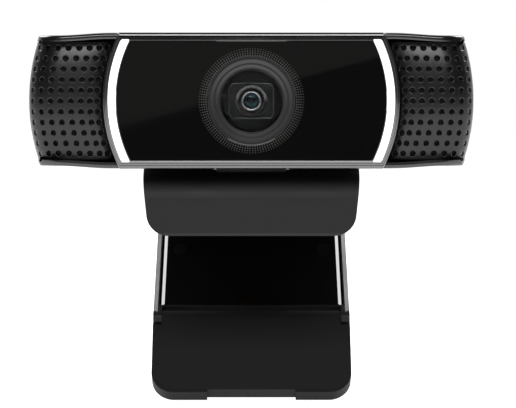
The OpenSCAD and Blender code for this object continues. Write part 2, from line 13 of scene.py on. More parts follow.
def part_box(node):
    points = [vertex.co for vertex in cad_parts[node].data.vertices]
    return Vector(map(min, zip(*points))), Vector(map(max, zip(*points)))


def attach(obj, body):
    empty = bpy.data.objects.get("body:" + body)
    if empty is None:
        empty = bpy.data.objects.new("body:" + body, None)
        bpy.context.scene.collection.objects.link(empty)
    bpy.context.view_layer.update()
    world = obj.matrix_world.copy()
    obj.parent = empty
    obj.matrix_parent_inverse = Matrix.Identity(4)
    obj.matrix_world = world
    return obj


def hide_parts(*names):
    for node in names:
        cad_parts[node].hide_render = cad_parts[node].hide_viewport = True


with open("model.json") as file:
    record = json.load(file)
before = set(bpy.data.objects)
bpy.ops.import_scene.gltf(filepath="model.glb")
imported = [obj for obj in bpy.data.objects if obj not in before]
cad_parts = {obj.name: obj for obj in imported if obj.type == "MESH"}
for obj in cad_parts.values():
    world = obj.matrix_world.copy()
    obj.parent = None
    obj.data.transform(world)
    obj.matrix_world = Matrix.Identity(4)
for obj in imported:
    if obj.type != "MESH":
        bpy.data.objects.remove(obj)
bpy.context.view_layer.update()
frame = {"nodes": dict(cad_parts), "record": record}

MM = 0.001
FACE_LO, FACE_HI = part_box("faceplate")
LENS_Z = (FACE_LO.z + FACE_HI.z) / 2 / MM
FRONT_Y = FACE_LO.y / MM


def extent(node, axis):
    """Half of a node's size along an axis, in millimetres."""
    low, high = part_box(node)
    return (high[axis] - low[axis]) / 2 / MM


HEAD_R = extent("rear_shell", 0)          # arcs that end the head, about the lens
CENTRE_R = extent("front_frame", 0)       # arcs that end the centre section
FRAME_H = extent("front_frame", 2)
SHELL_H = extent("rear_shell", 2)
PANEL_R = extent("faceplate", 0)
PANEL_H = extent("faceplate", 2)
RING_R = extent("lens_ring", 0)
WINDOW_R = extent("lens_window", 0)
BARREL_R = extent("lens_barrel", 0)
GLASS_R = extent("front_lens", 0)
GRILLE_H = extent("left_grille", 2)
HEAD_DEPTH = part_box("rear_shell")[1].y / MM - FRONT_Y
BARREL_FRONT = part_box("lens_barrel")[0].y / MM - FRONT_Y
PARTING = 6.0                             # where the front pieces meet the rear shell
STRIP_IN = PANEL_R + 0.12                 # the light strips' edges, about the lens
STRIP_OUT = PANEL_R + 1.75


# ---------------------------------------------------------------- materials

def shader(name):
    """A new material's node tree and its principled shader."""
    material = bpy.data.materials.new(name)
    material.use_nodes = True
    return material, material.node_tree, material.node_tree.nodes["Principled BSDF"]


def object_noise(tree, scale, detail=3.0, stretch=(1, 1, 1)):
    """Noise in the object's own coordinates, scale in features per metre."""
    where = tree.nodes.new("ShaderNodeTexCoord")
    mapping = tree.nodes.new("ShaderNodeMapping")
    mapping.inputs["Scale"].default_value = stretch
    noise = tree.nodes.new("ShaderNodeTexNoise")
    noise.inputs["Scale"].default_value = scale
    noise.inputs["Detail"].default_value = detail
    tree.links.new(where.outputs["Object"], mapping.inputs["Vector"])
    tree.links.new(mapping.outputs["Vector"], noise.inputs["Vector"])
    return noise.outputs["Fac"]


def spread(tree, fac, low, high):
    """fac, mapped from its middle range to low..high."""
    node = tree.nodes.new("ShaderNodeMapRange")
    node.inputs["From Min"].default_value = 0.3
    node.inputs["From Max"].default_value = 0.7
    node.inputs["To Min"].default_value = low
    node.inputs["To Max"].default_value = high
    tree.links.new(fac, node.inputs["Value"])
    return node.outputs["Result"]


def tint(tree, fac, dark, light):
    """A colour between dark and light."""
    node = tree.nodes.new("ShaderNodeMix")
    node.data_type = "RGBA"
    node.inputs["A"].default_value = (*dark, 1)
    node.inputs["B"].default_value = (*light, 1)
    tree.links.new(fac, node.inputs["Factor"])
    return node.outputs["Result"]


def bump(tree, bsdf, height, depth_mm):
    """Roughens a surface by height, up to depth_mm deep."""
    node = tree.nodes.new("ShaderNodeBump")
    node.inputs["Distance"].default_value = depth_mm * MM
    node.inputs["Strength"].default_value = 1.0
    tree.links.new(height, node.inputs["Height"])
    tree.links.new(node.outputs["Normal"], bsdf.inputs["Normal"])


def moulded(name, grey, rough, grain_mm=0.25, depth_mm=0.012, warm=0.0, wear=0.05, sheen=0.5):
    """Moulded plastic or rubber: fine grain, slow changes of tone and gloss."""
    material, tree, bsdf = shader(name)
    bsdf.inputs["Specular IOR Level"].default_value = sheen
    base = (grey * (1 + warm), grey, grey * (1 - warm * 0.5))
    slow = object_noise(tree, 60, 4)
    tone = tint(tree, slow, [c * 0.88 for c in base], [c * 1.12 for c in base])
    tree.links.new(tone, bsdf.inputs["Base Color"])
    tree.links.new(spread(tree, slow, rough - wear, rough + wear), bsdf.inputs["Roughness"])
    bump(tree, bsdf, object_noise(tree, 1 / (grain_mm * MM), 2), depth_mm)
    return material


def glossy(name, grey, rough=0.06, ior=1.5):
    """Polished plastic with faint smears and a few fine scuffs."""
    material, tree, bsdf = shader(name)
    smear = object_noise(tree, 45, 5, (1, 1, 2.5))
    tree.links.new(tint(tree, smear, (grey * 0.9,) * 3, (grey * 1.1,) * 3), bsdf.inputs["Base Color"])
    tree.links.new(spread(tree, smear, rough * 0.75, rough * 1.5), bsdf.inputs["Roughness"])
    bsdf.inputs["IOR"].default_value = ior
    return material


def metal(name, colour, rough, along=(1, 1, 1), scale=900):
    """Metal with a brushed or machined finish."""
    material, tree, bsdf = shader(name)
    bsdf.inputs["Metallic"].default_value = 1.0
    lines = object_noise(tree, scale, 4, along)
    dark = [c * 0.82 for c in colour]
    tree.links.new(tint(tree, lines, dark, colour), bsdf.inputs["Base Color"])
    tree.links.new(spread(tree, lines, rough * 0.8, rough * 1.25), bsdf.inputs["Roughness"])
    bump(tree, bsdf, lines, 0.004)
    return material


def about_lens(tree):
    """A maker of math nodes, and the radius (in millimetres) and angle about the lens axis."""
    nodes, links = tree.nodes, tree.links

    def maths(kind, a, b=None, clamp=False):
        node = nodes.new("ShaderNodeMath")
        node.operation = kind
        node.use_clamp = clamp
        for socket, value in zip(node.inputs, (a, b)):
            if isinstance(value, (int, float)):
                socket.default_value = value
            elif value is not None:
                links.new(value, socket)
        return node.outputs[0]

    where = nodes.new("ShaderNodeTexCoord")
    split = nodes.new("ShaderNodeSeparateXYZ")
    links.new(where.outputs["Object"], split.inputs[0])
    x = maths("DIVIDE", split.outputs["X"], MM)
    z = maths("SUBTRACT", maths("DIVIDE", split.outputs["Z"], MM), LENS_Z)
    radius = maths("SQRT", maths("ADD", maths("MULTIPLY", x, x), maths("MULTIPLY", z, z)))
    return maths, radius, maths("ARCTAN2", z, x)


HALO_SPOKES = 120                         # printed dots in one ring
HALO_PITCH = 0.47                         # from ring to ring
HALO_R = 11.4                             # where the dots have faded out


def halo_plate(name):
    """Polished faceplate with rings of small printed dots about the lens."""
    material, tree, bsdf = shader(name)
    nodes, links = tree.nodes, tree.links
    maths, radius, angle = about_lens(tree)
    spoke = maths("SUBTRACT", maths("FRACT", maths("MULTIPLY", angle, HALO_SPOKES / math.tau)), 0.5)
    ring = maths("SUBTRACT", maths("FRACT", maths("DIVIDE", radius, HALO_PITCH)), 0.5)
    stretch = maths("MULTIPLY", radius, math.tau / HALO_SPOKES / HALO_PITCH)
    across = maths("MULTIPLY", spoke, stretch)
    away = maths("SQRT", maths("ADD", maths("MULTIPLY", across, across), maths("MULTIPLY", ring, ring)))
    dot = maths("MULTIPLY", maths("SUBTRACT", 0.36, away), 9.0, clamp=True)
    fade = maths("DIVIDE", maths("SUBTRACT", HALO_R, radius), HALO_R - RING_R, clamp=True)
    mask = maths("MULTIPLY", dot, maths("POWER", fade, 0.55))
    ink = nodes.new("ShaderNodeMix")
    ink.data_type = "RGBA"
    smear = object_noise(tree, 45, 5, (1, 1, 2.5))
    links.new(tint(tree, smear, (0.0022,) * 3, (0.0030,) * 3), ink.inputs["A"])
    ink.inputs["B"].default_value = (0.075, 0.074, 0.072, 1)
    links.new(mask, ink.inputs["Factor"])
    links.new(ink.outputs["Result"], bsdf.inputs["Base Color"])
    links.new(spread(tree, smear, 0.02, 0.05), bsdf.inputs["Roughness"])
    return material


def light_guide(name):
    """Milky light guide, lit from behind and a little dimmer at its mould marks."""
    material, tree, bsdf = shader(name)
    cloud = object_noise(tree, 250, 2)
    tree.links.new(tint(tree, cloud, (0.86, 0.88, 0.9), (0.92, 0.94, 0.95)), bsdf.inputs["Base Color"])
    tree.links.new(tint(tree, cloud, (0.93, 0.96, 1.0), (1, 1, 1)), bsdf.inputs["Emission Color"])
    bsdf.inputs["Emission Strength"].default_value = 0.95
    bsdf.inputs["Roughness"].default_value = 0.35
    return material


def clear_glass(name):
    """Clear window with an antireflective coating and a trace of haze."""
    material, tree, bsdf = shader(name)
    bsdf.inputs["Transmission Weight"].default_value = 1.0
    bsdf.inputs["IOR"].default_value = 1.25
    haze = object_noise(tree, 120, 3)
    tree.links.new(tint(tree, haze, (0.86, 0.88, 0.9), (0.9, 0.92, 0.93)), bsdf.inputs["Base Color"])
    tree.links.new(spread(tree, haze, 0.0, 0.012), bsdf.inputs["Roughness"])
    return material


def coated_lens(name):
    """Dark lens with a bluish coating. Painted highlights: lighter rings in its colour stand in for the lit
    rims of the elements behind it. Painted reflection: a pinkish centre stands in for the coating's
    coloured reflection.
    """
    material, tree, bsdf = shader(name)
    maths, radius, _ = about_lens(tree)
    # painted highlights: lighter rings by radius about the lens stand in for the lit rims of the elements
    # behind it
    rings = maths("SUBTRACT", maths("SINE", maths("MULTIPLY", radius, 14.0)), 0.7, clamp=True)
    haze = object_noise(tree, 500, 2)
    depth = tint(tree, haze, (0.004, 0.005, 0.006), (0.006, 0.007, 0.009))
    # painted reflection: a pinkish tint at the lens centre, fading out by radius, stands in for the
    # coating's coloured reflection
    pink_centre_painted = tree.nodes.new("ShaderNodeMix")
    pink_centre_painted.data_type = "RGBA"
    pink_centre_painted.inputs["A"].default_value = (0.030, 0.012, 0.018, 1)
    tree.links.new(depth, pink_centre_painted.inputs["B"])
    tree.links.new(maths("MULTIPLY", radius, 1.1, clamp=True), pink_centre_painted.inputs["Factor"])
    # mixes the painted rim highlights over the lens colour
    rim = tree.nodes.new("ShaderNodeMix")
    rim.data_type = "RGBA"
    tree.links.new(pink_centre_painted.outputs["Result"], rim.inputs["A"])
    rim.inputs["B"].default_value = (0.10, 0.13, 0.14, 1)
    tree.links.new(rings, rim.inputs["Factor"])
    tree.links.new(rim.outputs["Result"], bsdf.inputs["Base Color"])
    bsdf.inputs["Specular Tint"].default_value = (0.30, 0.62, 0.66, 1)
    bsdf.inputs["Roughness"].default_value = 0.05
    return material


def board(name):
    """Solder mask with traces that show through it."""
    material, tree, bsdf = shader(name)
    traces = tree.nodes.new("ShaderNodeTexBrick")
    traces.inputs["Scale"].default_value = 700
    traces.inputs["Mortar Size"].default_value = 0.02
    traces.inputs["Color1"].default_value = (0.010, 0.070, 0.032, 1)
    traces.inputs["Color2"].default_value = (0.014, 0.090, 0.042, 1)
    traces.inputs["Mortar"].default_value = (0.030, 0.150, 0.075, 1)
    where = tree.nodes.new("ShaderNodeTexCoord")
    turn = tree.nodes.new("ShaderNodeMapping")
    turn.inputs["Rotation"].default_value = (math.radians(90), 0, 0)
    tree.links.new(where.outputs["Object"], turn.inputs["Vector"])
    tree.links.new(turn.outputs["Vector"], traces.inputs["Vector"])
    tree.links.new(traces.outputs["Color"], bsdf.inputs["Base Color"])
    bsdf.inputs["Roughness"].default_value = 0.3
    bump(tree, bsdf, traces.outputs["Fac"], 0.03)
    return material


MATERIALS = {
    "clip_plastic": moulded("clip_plastic", 0.008, 0.55, 0.2, 0.005, sheen=0.28),
    "leg_plastic": moulded("leg_plastic", 0.008, 0.42, 0.2, 0.004, sheen=0.3),
    "gloss_panel": glossy("gloss_panel", 0.003, 0.05),
    "pad_rubber": moulded("pad_rubber", 0.009, 0.6, 0.2, 0.006, sheen=0.12),
    "shell_plastic": glossy("shell_plastic", 0.006, 0.16, 1.7),
    "frame_plastic": glossy("frame_plastic", 0.006, 0.14, 2.3),
    "faceplate_gloss": halo_plate("faceplate_gloss"),
    "grille_plastic": moulded("grille_plastic", 0.005, 0.27, 0.12, 0.006, sheen=0.42),
    "light_guide": light_guide("light_guide"),
    "ring_plastic": moulded("ring_plastic", 0.016, 0.30, 0.15, 0.002),
    "window_glass": clear_glass("window_glass"),
    "mask_plastic": moulded("mask_plastic", 0.003, 0.6, 0.3, 0.0005, sheen=0.2),
    "bracket_metal": moulded("bracket_metal", 0.006, 0.5, 0.2, 0.005, sheen=0.3),
    "board_laminate": board("board_laminate"),
    "sensor_ceramic": moulded("sensor_ceramic", 0.05, 0.3),
    "housing_metal": moulded("housing_metal", 0.045, 0.22, 0.2, 0.002, sheen=1.0),
    "magnet_metal": metal("magnet_metal", (0.4, 0.4, 0.41), 0.3),
    "coil_wire": metal("coil_wire", (0.72, 0.33, 0.14), 0.28, (1, 12, 1)),
    "barrel_plastic": moulded("barrel_plastic", 0.010, 0.3, 0.3, 0.003),
    "lens_glass": coated_lens("lens_glass"),
    "shield_steel": metal("shield_steel", (0.62, 0.62, 0.63), 0.32, (1, 1, 30)),
    "header_plastic": moulded("header_plastic", 0.6, 0.45, warm=0.12),
    "mic_metal": metal("mic_metal", (0.75, 0.62, 0.35), 0.3),
    "mic_foam_soft": moulded("mic_foam_soft", 0.006, 0.95, 0.4, 0.10),
    "led_resin": moulded("led_resin", 0.75, 0.2, warm=0.1),
    "insert_brass": metal("insert_brass", (0.66, 0.48, 0.2), 0.24, (1, 1, 14)),
    "washer_plastic": moulded("washer_plastic", 0.008, 0.45),
    "pin_steel": metal("pin_steel", (0.6, 0.6, 0.61), 0.25, (20, 1, 1)),
    "screw_steel": metal("screw_steel", (0.30, 0.30, 0.31), 0.34),
    "gland_rubber": moulded("gland_rubber", 0.018, 0.6),
}
NODE_SLOT = {row["node"]: row["material_slot"] for row in frame["record"]["subparts"]}
NODE_BODY = {node: body for body, nodes in frame["record"]["behaviour"]["bodies"].items() for node in nodes}


# ---------------------------------------------------------------- mesh helpers

def head_point(x, d, z):
    """A point of the head, given about the lens axis in millimetres, in metres."""
    return Vector((x * MM, (FRONT_Y + d) * MM, (LENS_Z + z) * MM))


def smooth_piece(name, bm, node, slot):
    """Turns bm into a smooth-shaded object that rides on a CAD node's body and wears a slot material."""
    bmesh.ops.recalc_face_normals(bm, faces=bm.faces)
    mesh = bpy.data.meshes.new(name)
    bm.to_mesh(mesh)
    bm.free()
    mesh.shade_smooth()
    mesh.materials.append(MATERIALS[slot])
    piece = bpy.data.objects.new(name, mesh)
    bpy.context.scene.collection.objects.link(piece)
    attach(piece, NODE_BODY[node])
    return piece


def shade_evenly(piece):
    """Weighs normals by face size, keeping sharp edges."""
    even = piece.modifiers.new("even shading", "WEIGHTED_NORMAL")
    even.keep_sharp = True


def finish_mesh(name, bm, node, sharp=35.0, material=None):
    """Makes bm a piece that stands for a CAD node and wears that node's slot material, or another."""
    bmesh.ops.remove_doubles(bm, verts=bm.verts, dist=1e-7)
    piece = smooth_piece(name, bm, node, material or NODE_SLOT[node])
    piece.data.set_sharp_from_angle(angle=math.radians(sharp))
    shade_evenly(piece)
    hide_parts(node)
    return piece


def add_rings(bm, rings):
    """Vertices for rings of points."""
    return [[bm.verts.new(p) for p in ring] for ring in rings]


def join_rings(bm, loops):
    """Quads from each ring of vertices to the next. All rings have equally many."""
    for a, b in zip(loops, loops[1:]):
        for i in range(len(a)):
            j = (i + 1) % len(a)
            bm.faces.new((a[i], a[j], b[j], b[i]))


def add_loft(bm, rings, close=False):
    """Joins rings of points with quads. Open ends are capped; close joins the last to the first."""
    loops = add_rings(bm, rings)
    join_rings(bm, loops + loops[:1] if close else loops)
    if not close:
        bm.faces.new(list(reversed(loops[0])))
        bm.faces.new(loops[-1])


def lathe(name, node, profile, centre=(0.0, 0.0), steps=128, closed=True, sharp=35.0, material=None):
    """Turns a profile of (radius, d) points about an axis along Y through centre of the head."""
    bm = bmesh.new()
    rings = []
    for radius, d in profile:
        rings.append([
            head_point(centre[0] + radius * math.cos(a), d, centre[1] + radius * math.sin(a))
            for a in (math.tau * i / steps for i in range(steps))
        ])
    add_loft(bm, rings, close=closed)
    finish_mesh(name, bm, node, sharp, material)


def arc(cx, cy, r, a0, a1, steps):
    """Points on an arc, angles in degrees, ends included."""
    return [
        (cx + r * math.cos(math.radians(a0 + (a1 - a0) * i / steps)),
         cy + r * math.sin(math.radians(a0 + (a1 - a0) * i / steps)))
        for i in range(steps + 1)
    ]


def head_outline(radius, half_h, corner, across=14, bend=6, side=14):
    """Outline of the head: flat top and bottom, arcs about the lens, small corner arcs. Starts at
    the middle of the top and runs clockwise; every call gives equally many points."""
    corner = max(corner, 0.02)
    cz = half_h - corner
    cx = math.sqrt(max((radius - corner) ** 2 - cz ** 2, 0.01))
    phi = math.degrees(math.atan2(cz, cx))
    quarter = [(cx * i / across, half_h) for i in range(across)]
    quarter += arc(cx, cz, corner, 90, phi, bend)
    quarter += arc(0, 0, radius, phi, 0, side)[1:]
    right = quarter + [(x, -z) for x, z in reversed(quarter[:-1])]
    return right + [(-x, z) for x, z in reversed(right[1:-1])]


def ease(t):
    """Smooth step from 0 to 1."""
    return t * t * (3 - 2 * t)


# ---------------------------------------------------------------- head: frame, panel and strips

def offset_ring(inset, d, side_share, corner):
    """The centre section's outline drawn in by inset, and by a share of it at the sides."""
    return [
        head_point(x, d, z)
        for x, z in head_outline(CENTRE_R - inset * side_share, FRAME_H - inset, max(corner - inset, 0.1))
    ]


def build_front_frame():
    """Frame round the panel: a rounded outer edge, a fine groove, then a grooved chamfer up to the
    panel and the step down to its seat."""
    trim = FRAME_H - PANEL_H
    side_share = (CENTRE_R - STRIP_OUT) / trim
    profile = [
        (0.00, PARTING), (0.00, 1.60), (0.04, 1.30), (0.15, 1.05), (0.32, 0.88), (0.50, 0.78),
        (0.66, 0.74), (0.72, 0.86), (0.78, 0.86), (0.80, 0.54), (1.12, 0.33), (1.14, 0.40),
        (1.18, 0.38), (1.20, 0.27), (trim - 0.16, 0.05), (trim - 0.08, 0.01), (trim - 0.03, 0.03),
        (trim, 0.16), (trim, 1.30), (trim + 0.3, 1.30), (trim + 0.3, PARTING),
    ]
    bm = bmesh.new()
    add_loft(bm, [offset_ring(i, d, side_share, 0.5) for i, d in profile], close=True)
    finish_mesh("front_frame_trim", bm, "front_frame", 32)


def plate_with_hole(bm, outline, hole, levels):
    """A plate with one round hole. levels are (inset of both edges, d) from front to back."""
    rings = []
    for inset, d in levels:
        outer = []
        for x, z in outline:
            size = math.hypot(x, z)
            outer.append(head_point(x * (1 - inset / size), d, z * (1 - inset / size)))
        rings.append(outer)
    inner_rings = []
    for inset, d in reversed(levels):
        ring = []
        for x, z in outline:
            a = math.atan2(z, x)
            ring.append(head_point((hole + inset) * math.cos(a), d, (hole + inset) * math.sin(a)))
        inner_rings.append(ring)
    add_loft(bm, rings + inner_rings, close=True)


def build_faceplate():
    """Glossy panel with a bevelled edge and a round hole for the lens ring."""
    outline = head_outline(PANEL_R - 0.03, PANEL_H - 0.03, 0.3, 40, 6, 30)
    levels = [(1.2, 0.0), (0.12, 0.0), (0.04, 0.03), (0.0, 0.1), (0.0, 1.15)]
    bm = bmesh.new()
    plate_with_hole(bm, outline, RING_R + 0.02, levels)
    finish_mesh("faceplate_panel", bm, "faceplate", 5)


def build_strip(side, node):
    """One lit arc, its ends square and its front edges rounded."""
    reach = PANEL_H + 0.25
    bm = bmesh.new()
    steps = 48
    rings = []
    for i in range(steps + 1):
        share = 2 * i / steps - 1
        section = [
            (STRIP_IN, 1.2), (STRIP_IN, 0.2), (STRIP_IN + 0.05, 0.08), (STRIP_IN + 0.15, 0.04),
            (STRIP_OUT - 0.19, 0.04), (STRIP_OUT - 0.09, 0.08), (STRIP_OUT - 0.04, 0.2),
            (STRIP_OUT - 0.04, 1.2),
        ]
        ring = []
        for radius, d in section:
            z = share * reach
            ring.append(head_point(side * math.sqrt(radius * radius - z * z), d, z))
        rings.append(ring)
    add_loft(bm, rings)
    middle = side * (PANEL_R + STRIP_OUT) / 2
    stem = [(middle - 0.65, -2.1), (middle + 0.65, -2.1), (middle + 0.65, 2.1), (middle - 0.65, 2.1)]
    add_loft(bm, [[head_point(x, d, z) for x, z in stem] for d in (0.9, 10.4)])
    finish_mesh(f"{node}_arc", bm, node, 40)


# ---------------------------------------------------------------- head: grilles and rear shell

GRILLE_IN = CENTRE_R + 0.12               # inner edge of a grille, about the lens
GRILLE_OUT = HEAD_R - 0.03
CREST = 1.0                               # the grille's highest level behind the faceplate
ROLL_IN_R = 37.2                          # the cushion falls away inside this radius
ROLL_OUT_R = 40.0                         # and outside this one


def grille_depth(x, z):
    """How far the grille's face lies behind the faceplate: a cushion that rolls down to both ends."""
    radius = math.hypot(x, z)
    inner = max(0.0, (ROLL_IN_R - radius) / (ROLL_IN_R - GRILLE_IN))
    outer = max(0.0, (radius - ROLL_OUT_R) / (GRILLE_OUT - ROLL_OUT_R))
    fall_in = 2.3 * (1 - math.sqrt(max(0.0, 1 - (0.94 * inner) ** 2)))
    fall_out = 4.6 * (1 - math.sqrt(max(0.0, 1 - (0.985 * outer) ** 2.4)))
    crown = 2.3 * abs(z / GRILLE_H) ** 2.2
    return CREST + fall_in + fall_out + crown


GRILLE_WALL = 0.9                         # thickness of a grille
HOLE_R = 0.5
HOLE_ROWS = 11
HOLE_PITCH = 2.26
HOLE_ARCS = (32.75, 34.3, 36.25, 38.35, 40.55, 42.7, 44.75, 46.55)    # radii of the columns
HOLE_SIDES = 16
HOLE_EDGE = ((0.24, 0.0), (0.15, 0.03), (0.07, 0.09), (0.02, 0.18), (0.0, 0.32))    # its rounding


def grille_point(side, x, z, back):
    """A point that lies back behind the grille's face."""
    return head_point(side * x, grille_depth(x, z) + back, z)


def cell_edge(r0, r1, z0, z1):
    """Points (radius, z) round a cell between two arcs and two heights."""
    quarter = HOLE_SIDES // 4
    corners = [(r1, z0), (r1, z1), (r0, z1), (r0, z0)]
    edge = []
    for (ra, za), (rb, zb) in zip(corners, corners[1:] + corners[:1]):
        edge += [(ra + (rb - ra) * k / quarter, za + (zb - za) * k / quarter) for k in range(quarter)]
    return edge


def hole_cell(side, r_span, z_span, rc, zc):
    """Rings of points round one hole: the cell's edge on the face, the hole's rounded rim and its
    wall, and the cell's edge on the back."""
    xc = math.sqrt(rc * rc - zc * zc)
    slope = (grille_depth(xc + 0.1, zc) - grille_depth(xc - 0.1, zc)) / 0.2
    squeeze = 1 / math.sqrt(1 + slope * slope)

    def edge(back):
        points = [(math.sqrt(max(r * r - z * z, 0.01)), z) for r, z in cell_edge(*r_span, *z_span)]
        return [grille_point(side, x, z, back) for x, z in points]

    def circle(radius, back):
        angles = [math.radians(-45) + math.tau * k / HOLE_SIDES for k in range(HOLE_SIDES)]
        points = [(xc + radius * math.cos(a) * squeeze, zc + radius * math.sin(a)) for a in angles]
        return [grille_point(side, x, z, back) for x, z in points]

    rims = [circle(HOLE_R + away, back) for away, back in HOLE_EDGE]
    return [edge(0.0), *rims, circle(HOLE_R, GRILLE_WALL), edge(GRILLE_WALL)]


def build_grille(side, node):
    """A perforated cushion, made of one cell of mesh round each hole."""
    z_lines = [-GRILLE_H]
    z_lines += [(row - HOLE_ROWS / 2 + 1) * HOLE_PITCH for row in range(HOLE_ROWS - 1)]
    z_lines += [GRILLE_H]
    r_lines = [GRILLE_IN]
    r_lines += [(a + b) / 2 for a, b in zip(HOLE_ARCS, HOLE_ARCS[1:])]
    r_lines += [GRILLE_OUT]
    bm = bmesh.new()
    for row in range(HOLE_ROWS):
        zc = (row - (HOLE_ROWS - 1) / 2) * HOLE_PITCH
        for column, rc in enumerate(HOLE_ARCS):
            r_span, z_span = r_lines[column:column + 2], z_lines[row:row + 2]
            rings = hole_cell(side, r_span, z_span, rc, zc)
            join_rings(bm, add_rings(bm, rings))
    bmesh.ops.remove_doubles(bm, verts=bm.verts, dist=2e-6)
    border = [e for e in bm.edges if e.is_boundary]
    bmesh.ops.bridge_loops(bm, edges=border)
    piece = finish_mesh(f"{node}_perforated", bm, node, 50)
    follow_cushion(piece, side)


def follow_cushion(piece, side):
    """Shades the grille's face after the cushion's own slope, so the holes leave no marks round them."""
    piece.modifiers.clear()
    mesh = piece.data
    normals = [corner.vector.copy() for corner in mesh.corner_normals]
    step = 0.05

    def spot(index):
        point = mesh.vertices[index].co / MM
        return point.x * side, point.y - FRONT_Y, point.z - LENS_Z

    def on_face(index):
        x, d, z = spot(index)
        return abs(d - grille_depth(x, z)) < 0.005

    for polygon in mesh.polygons:
        if not all(on_face(index) for index in polygon.vertices):
            continue
        for corner in polygon.loop_indices:
            x, _, z = spot(mesh.loops[corner].vertex_index)
            slope_x = (grille_depth(x + step, z) - grille_depth(x - step, z)) / (2 * step)
            slope_z = (grille_depth(x, z + step) - grille_depth(x, z - step)) / (2 * step)
            normals[corner] = Vector((side * slope_x, -1, slope_z)).normalized()
    mesh.normals_split_custom_set(normals)


def build_cloth(side, node):
    """Dust cloth behind the holes of a grille, stretched on its back."""
    columns, rows = 24, 12
    bm = bmesh.new()

    def sheet(back):
        rings = []
        for j in range(rows + 1):
            z = (2 * j / rows - 1) * (GRILLE_H - 0.1)
            row = []
            for i in range(columns + 1):
                r = GRILLE_IN + 0.1 + (GRILLE_OUT - GRILLE_IN - 0.35) * i / columns
                x = math.sqrt(r * r - z * z)
                row.append(bm.verts.new(grille_point(side, x, z, back)))
            rings.append(row)
        for a, b in zip(rings, rings[1:]):
            for i in range(columns):
                bm.faces.new((a[i], a[i + 1], b[i + 1], b[i]))

    sheet(GRILLE_WALL + 0.05)
    sheet(GRILLE_WALL + 0.20)
    bmesh.ops.bridge_loops(bm, edges=[e for e in bm.edges if e.is_boundary])
    smooth_piece(f"{node}_cloth", bm, node, "mic_foam_soft")


def rim_front(x, z):
    """Front edge of the rear shell: rims that follow the crest of the grilles above and below them,
    tucked behind the grilles at the ends of the head and behind the centre section."""
    if abs(x) < CENTRE_R - 4:
        return 3.5
    if abs(z) > GRILLE_H:
        outer = max(0.0, (math.hypot(x, z) - 41.5) / (HEAD_R - 41.5))
        return CREST + 0.35 + 4.6 * (1 - math.sqrt(max(0.0, 1 - (0.97 * outer) ** 2.2)))
    return grille_depth(x, z) + 0.4


def flare(x, d):
    """Extra height of the shell where it rises to meet the centre section."""
    near = min(max((41.0 - abs(x)) / 11.0, 0.0), 1.0)
    back = min(max((PARTING + 4 - d) / 4, 0.0), 1.0)
    return (FRAME_H - SHELL_H - 0.05) * ease(near) * ease(back)


def shell_ring(inset, d, shrink_x=0.0, shrink_z=0.0, corner=0.7, front=None):
    """One ring of the shell, drawn in by inset. With front it lies that far behind the front edge."""
    half_h = SHELL_H - inset - shrink_z
    points = head_outline(HEAD_R - inset - shrink_x, half_h, max(corner - inset, 0.3), 30, 8, 24)
    ring = []
    for x, z in points:
        depth = d if front is None else rim_front(x, z) + front
        rise = math.copysign(flare(x, depth), z) if abs(z) > half_h - 0.4 else 0.0
        ring.append(head_point(x, depth, z + rise))
    return ring


SCREW_HEAD_R = 1.6
RECESS_R = 1.75                           # recess round a screw's head
GLAND_R = 3.5                             # hole for the cable gland


def build_rear_shell():
    """The shell behind the front pieces, with rims above and below the grilles."""
    wall = 1.3
    rings = [
        shell_ring(wall, 0, front=0.05), shell_ring(0.75, 0, front=-0.05), shell_ring(0.4, 0, front=0.05),
        shell_ring(0.12, 0, front=0.3), shell_ring(0.0, 0, front=0.7),
        shell_ring(0.0, PARTING + 1.2), shell_ring(0.0, 10), shell_ring(0.05, 14),
    ]
    turn_d, turn_x, turn_z = 8.0, 11.0, 5.0
    steps = 12
    for i in range(steps + 1):
        a = math.radians(90 * i / steps)
        rings.append(shell_ring(
            0.05, HEAD_DEPTH - turn_d * (1 - math.sin(a)), turn_x * (1 - math.cos(a)),
            turn_z * (1 - math.cos(a)), 0.7 + 5 * (1 - math.cos(a))))
    inner = [
        shell_ring(wall, HEAD_DEPTH - 1.2, turn_x, turn_z, 4),
        shell_ring(wall + 0.3, HEAD_DEPTH - 3, turn_x * 0.4, turn_z * 0.4, 3),
        shell_ring(wall, 14), shell_ring(wall, PARTING + 1.2),
    ]
    bm = bmesh.new()
    loops = add_rings(bm, rings)
    inside = add_rings(bm, inner)
    for chain in (loops, inside, [inside[-1], loops[0]]):
        join_rings(bm, chain)
    bm.faces.new(loops[-1])
    bm.faces.new(list(reversed(inside[0])))
    piece = finish_mesh("rear_shell_body", bm, "rear_shell", 40)
    places = screw_places()
    low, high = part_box("cable_gland")
    gland_z = (low.z + high.z) / 2 / MM - LENS_Z
    cut_holes(piece, [(x, z, RECESS_R) for x, z in places] + [(0, gland_z, GLAND_R)])
    for number, (x, z) in enumerate(places):
        lathe(f"screw_boss_{number}", "rear_shell", [
            (RECESS_R, HEAD_DEPTH - 3.4), (RECESS_R, HEAD_DEPTH - 2.7),
            (RECESS_R + 0.3, HEAD_DEPTH - 2.7), (RECESS_R + 0.3, HEAD_DEPTH - 3.4),
        ], centre=(x, z), steps=32)


def screw_places():
    """Axes of the four shell screws, [x, z] from the lens axis."""
    x = extent("shell_screws", 0) - SCREW_HEAD_R
    z = extent("shell_screws", 2) - SCREW_HEAD_R
    return [(x, z), (-x, z), (-x, -z), (x, -z)]


